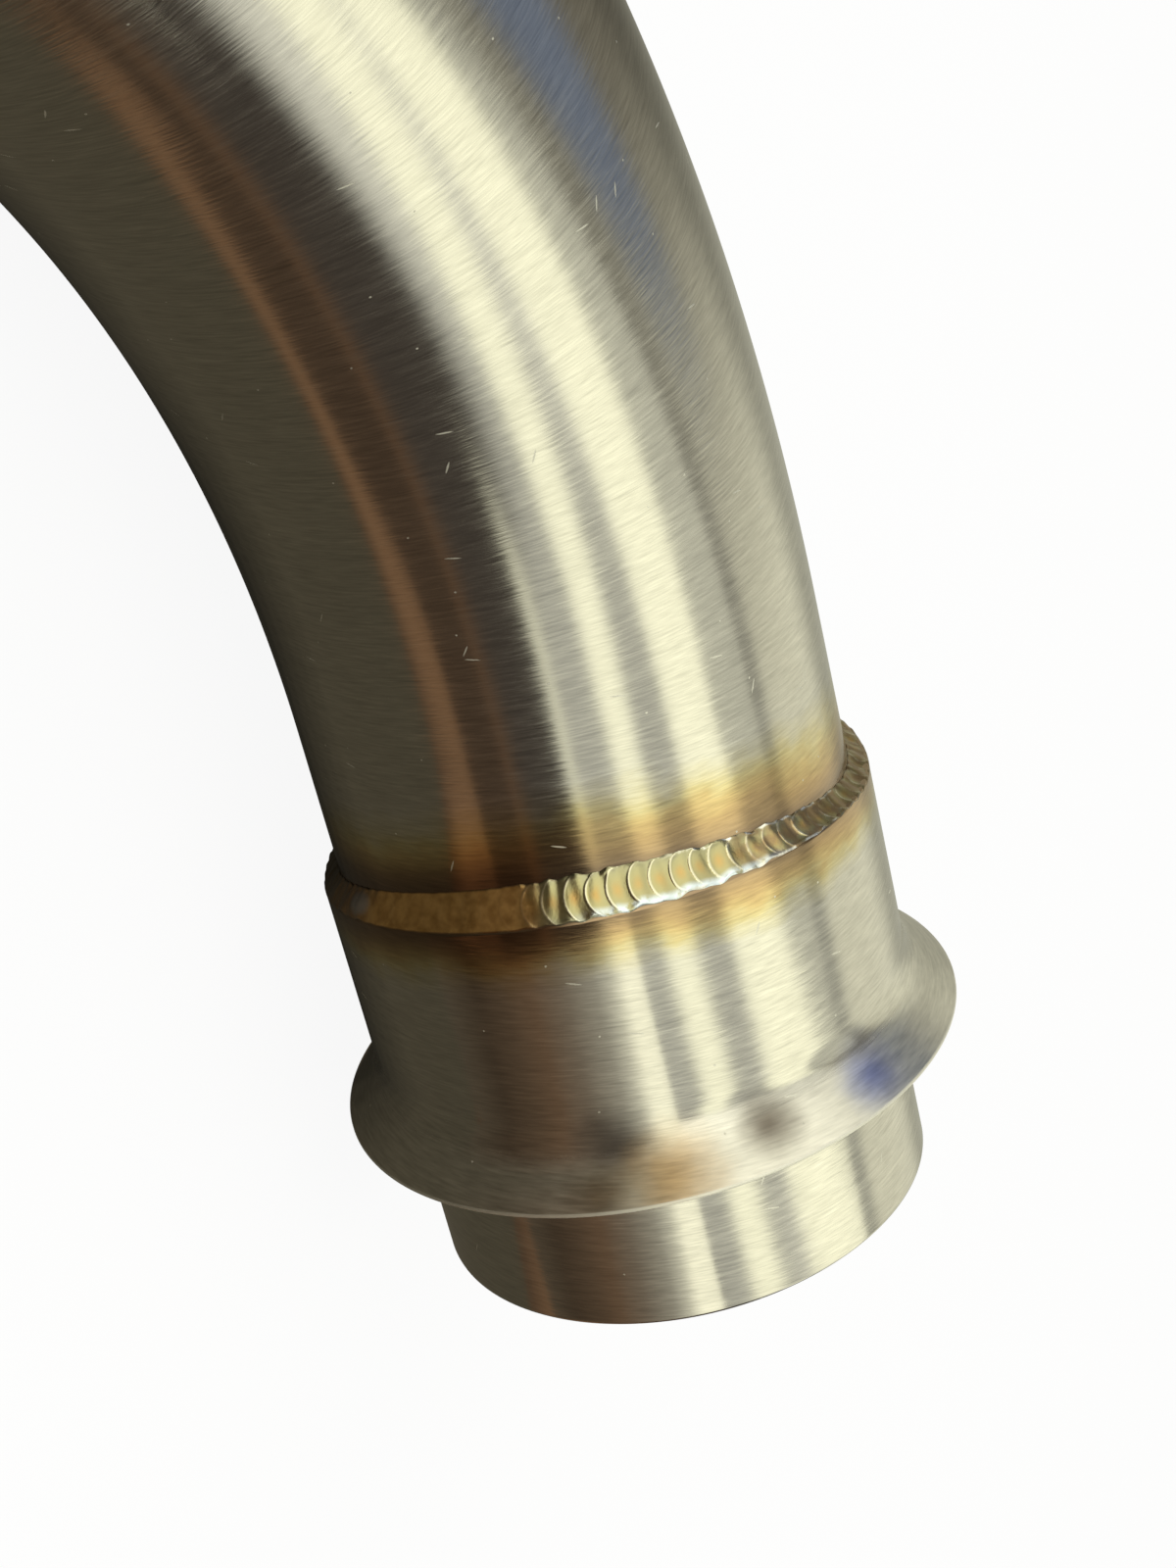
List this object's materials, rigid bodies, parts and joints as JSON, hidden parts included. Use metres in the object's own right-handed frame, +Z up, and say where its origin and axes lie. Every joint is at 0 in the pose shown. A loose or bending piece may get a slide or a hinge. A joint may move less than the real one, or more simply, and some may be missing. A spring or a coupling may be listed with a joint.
{
  "type": "exhaust link pipe",
  "caption": "Bent stainless exhaust link pipe with a flared collar welded round one end and the tube's end standing out of it as a spigot.",
  "frame": {"origin": "centre of the end face of the spigot, the plain tube end that stands out of the flared collar", "axes": "+Z up from the level floor that the pipe comes to rest on, +X along the first straight run as seen from above, away from the spigot's end, +Y towards the side that the pipe bends to"},
  "size_m": [0.1986, 0.206, 0.063],
  "materials": {
    "brushed_tube": "stainless tube brushed round its girth, with straw and brown heat tint near the weld",
    "brushed_collar": "stainless collar brushed round its girth, with straw and brown heat tint near the weld",
    "weld_metal": "rippled weld metal, gold to brown heat tint with a pale blue lower edge"
  },
  "bodies": {
    "root": {"bent_tube": "brushed_tube", "flared_collar": "brushed_collar", "weld_bead": "weld_metal"}
  },
  "joints": []
}
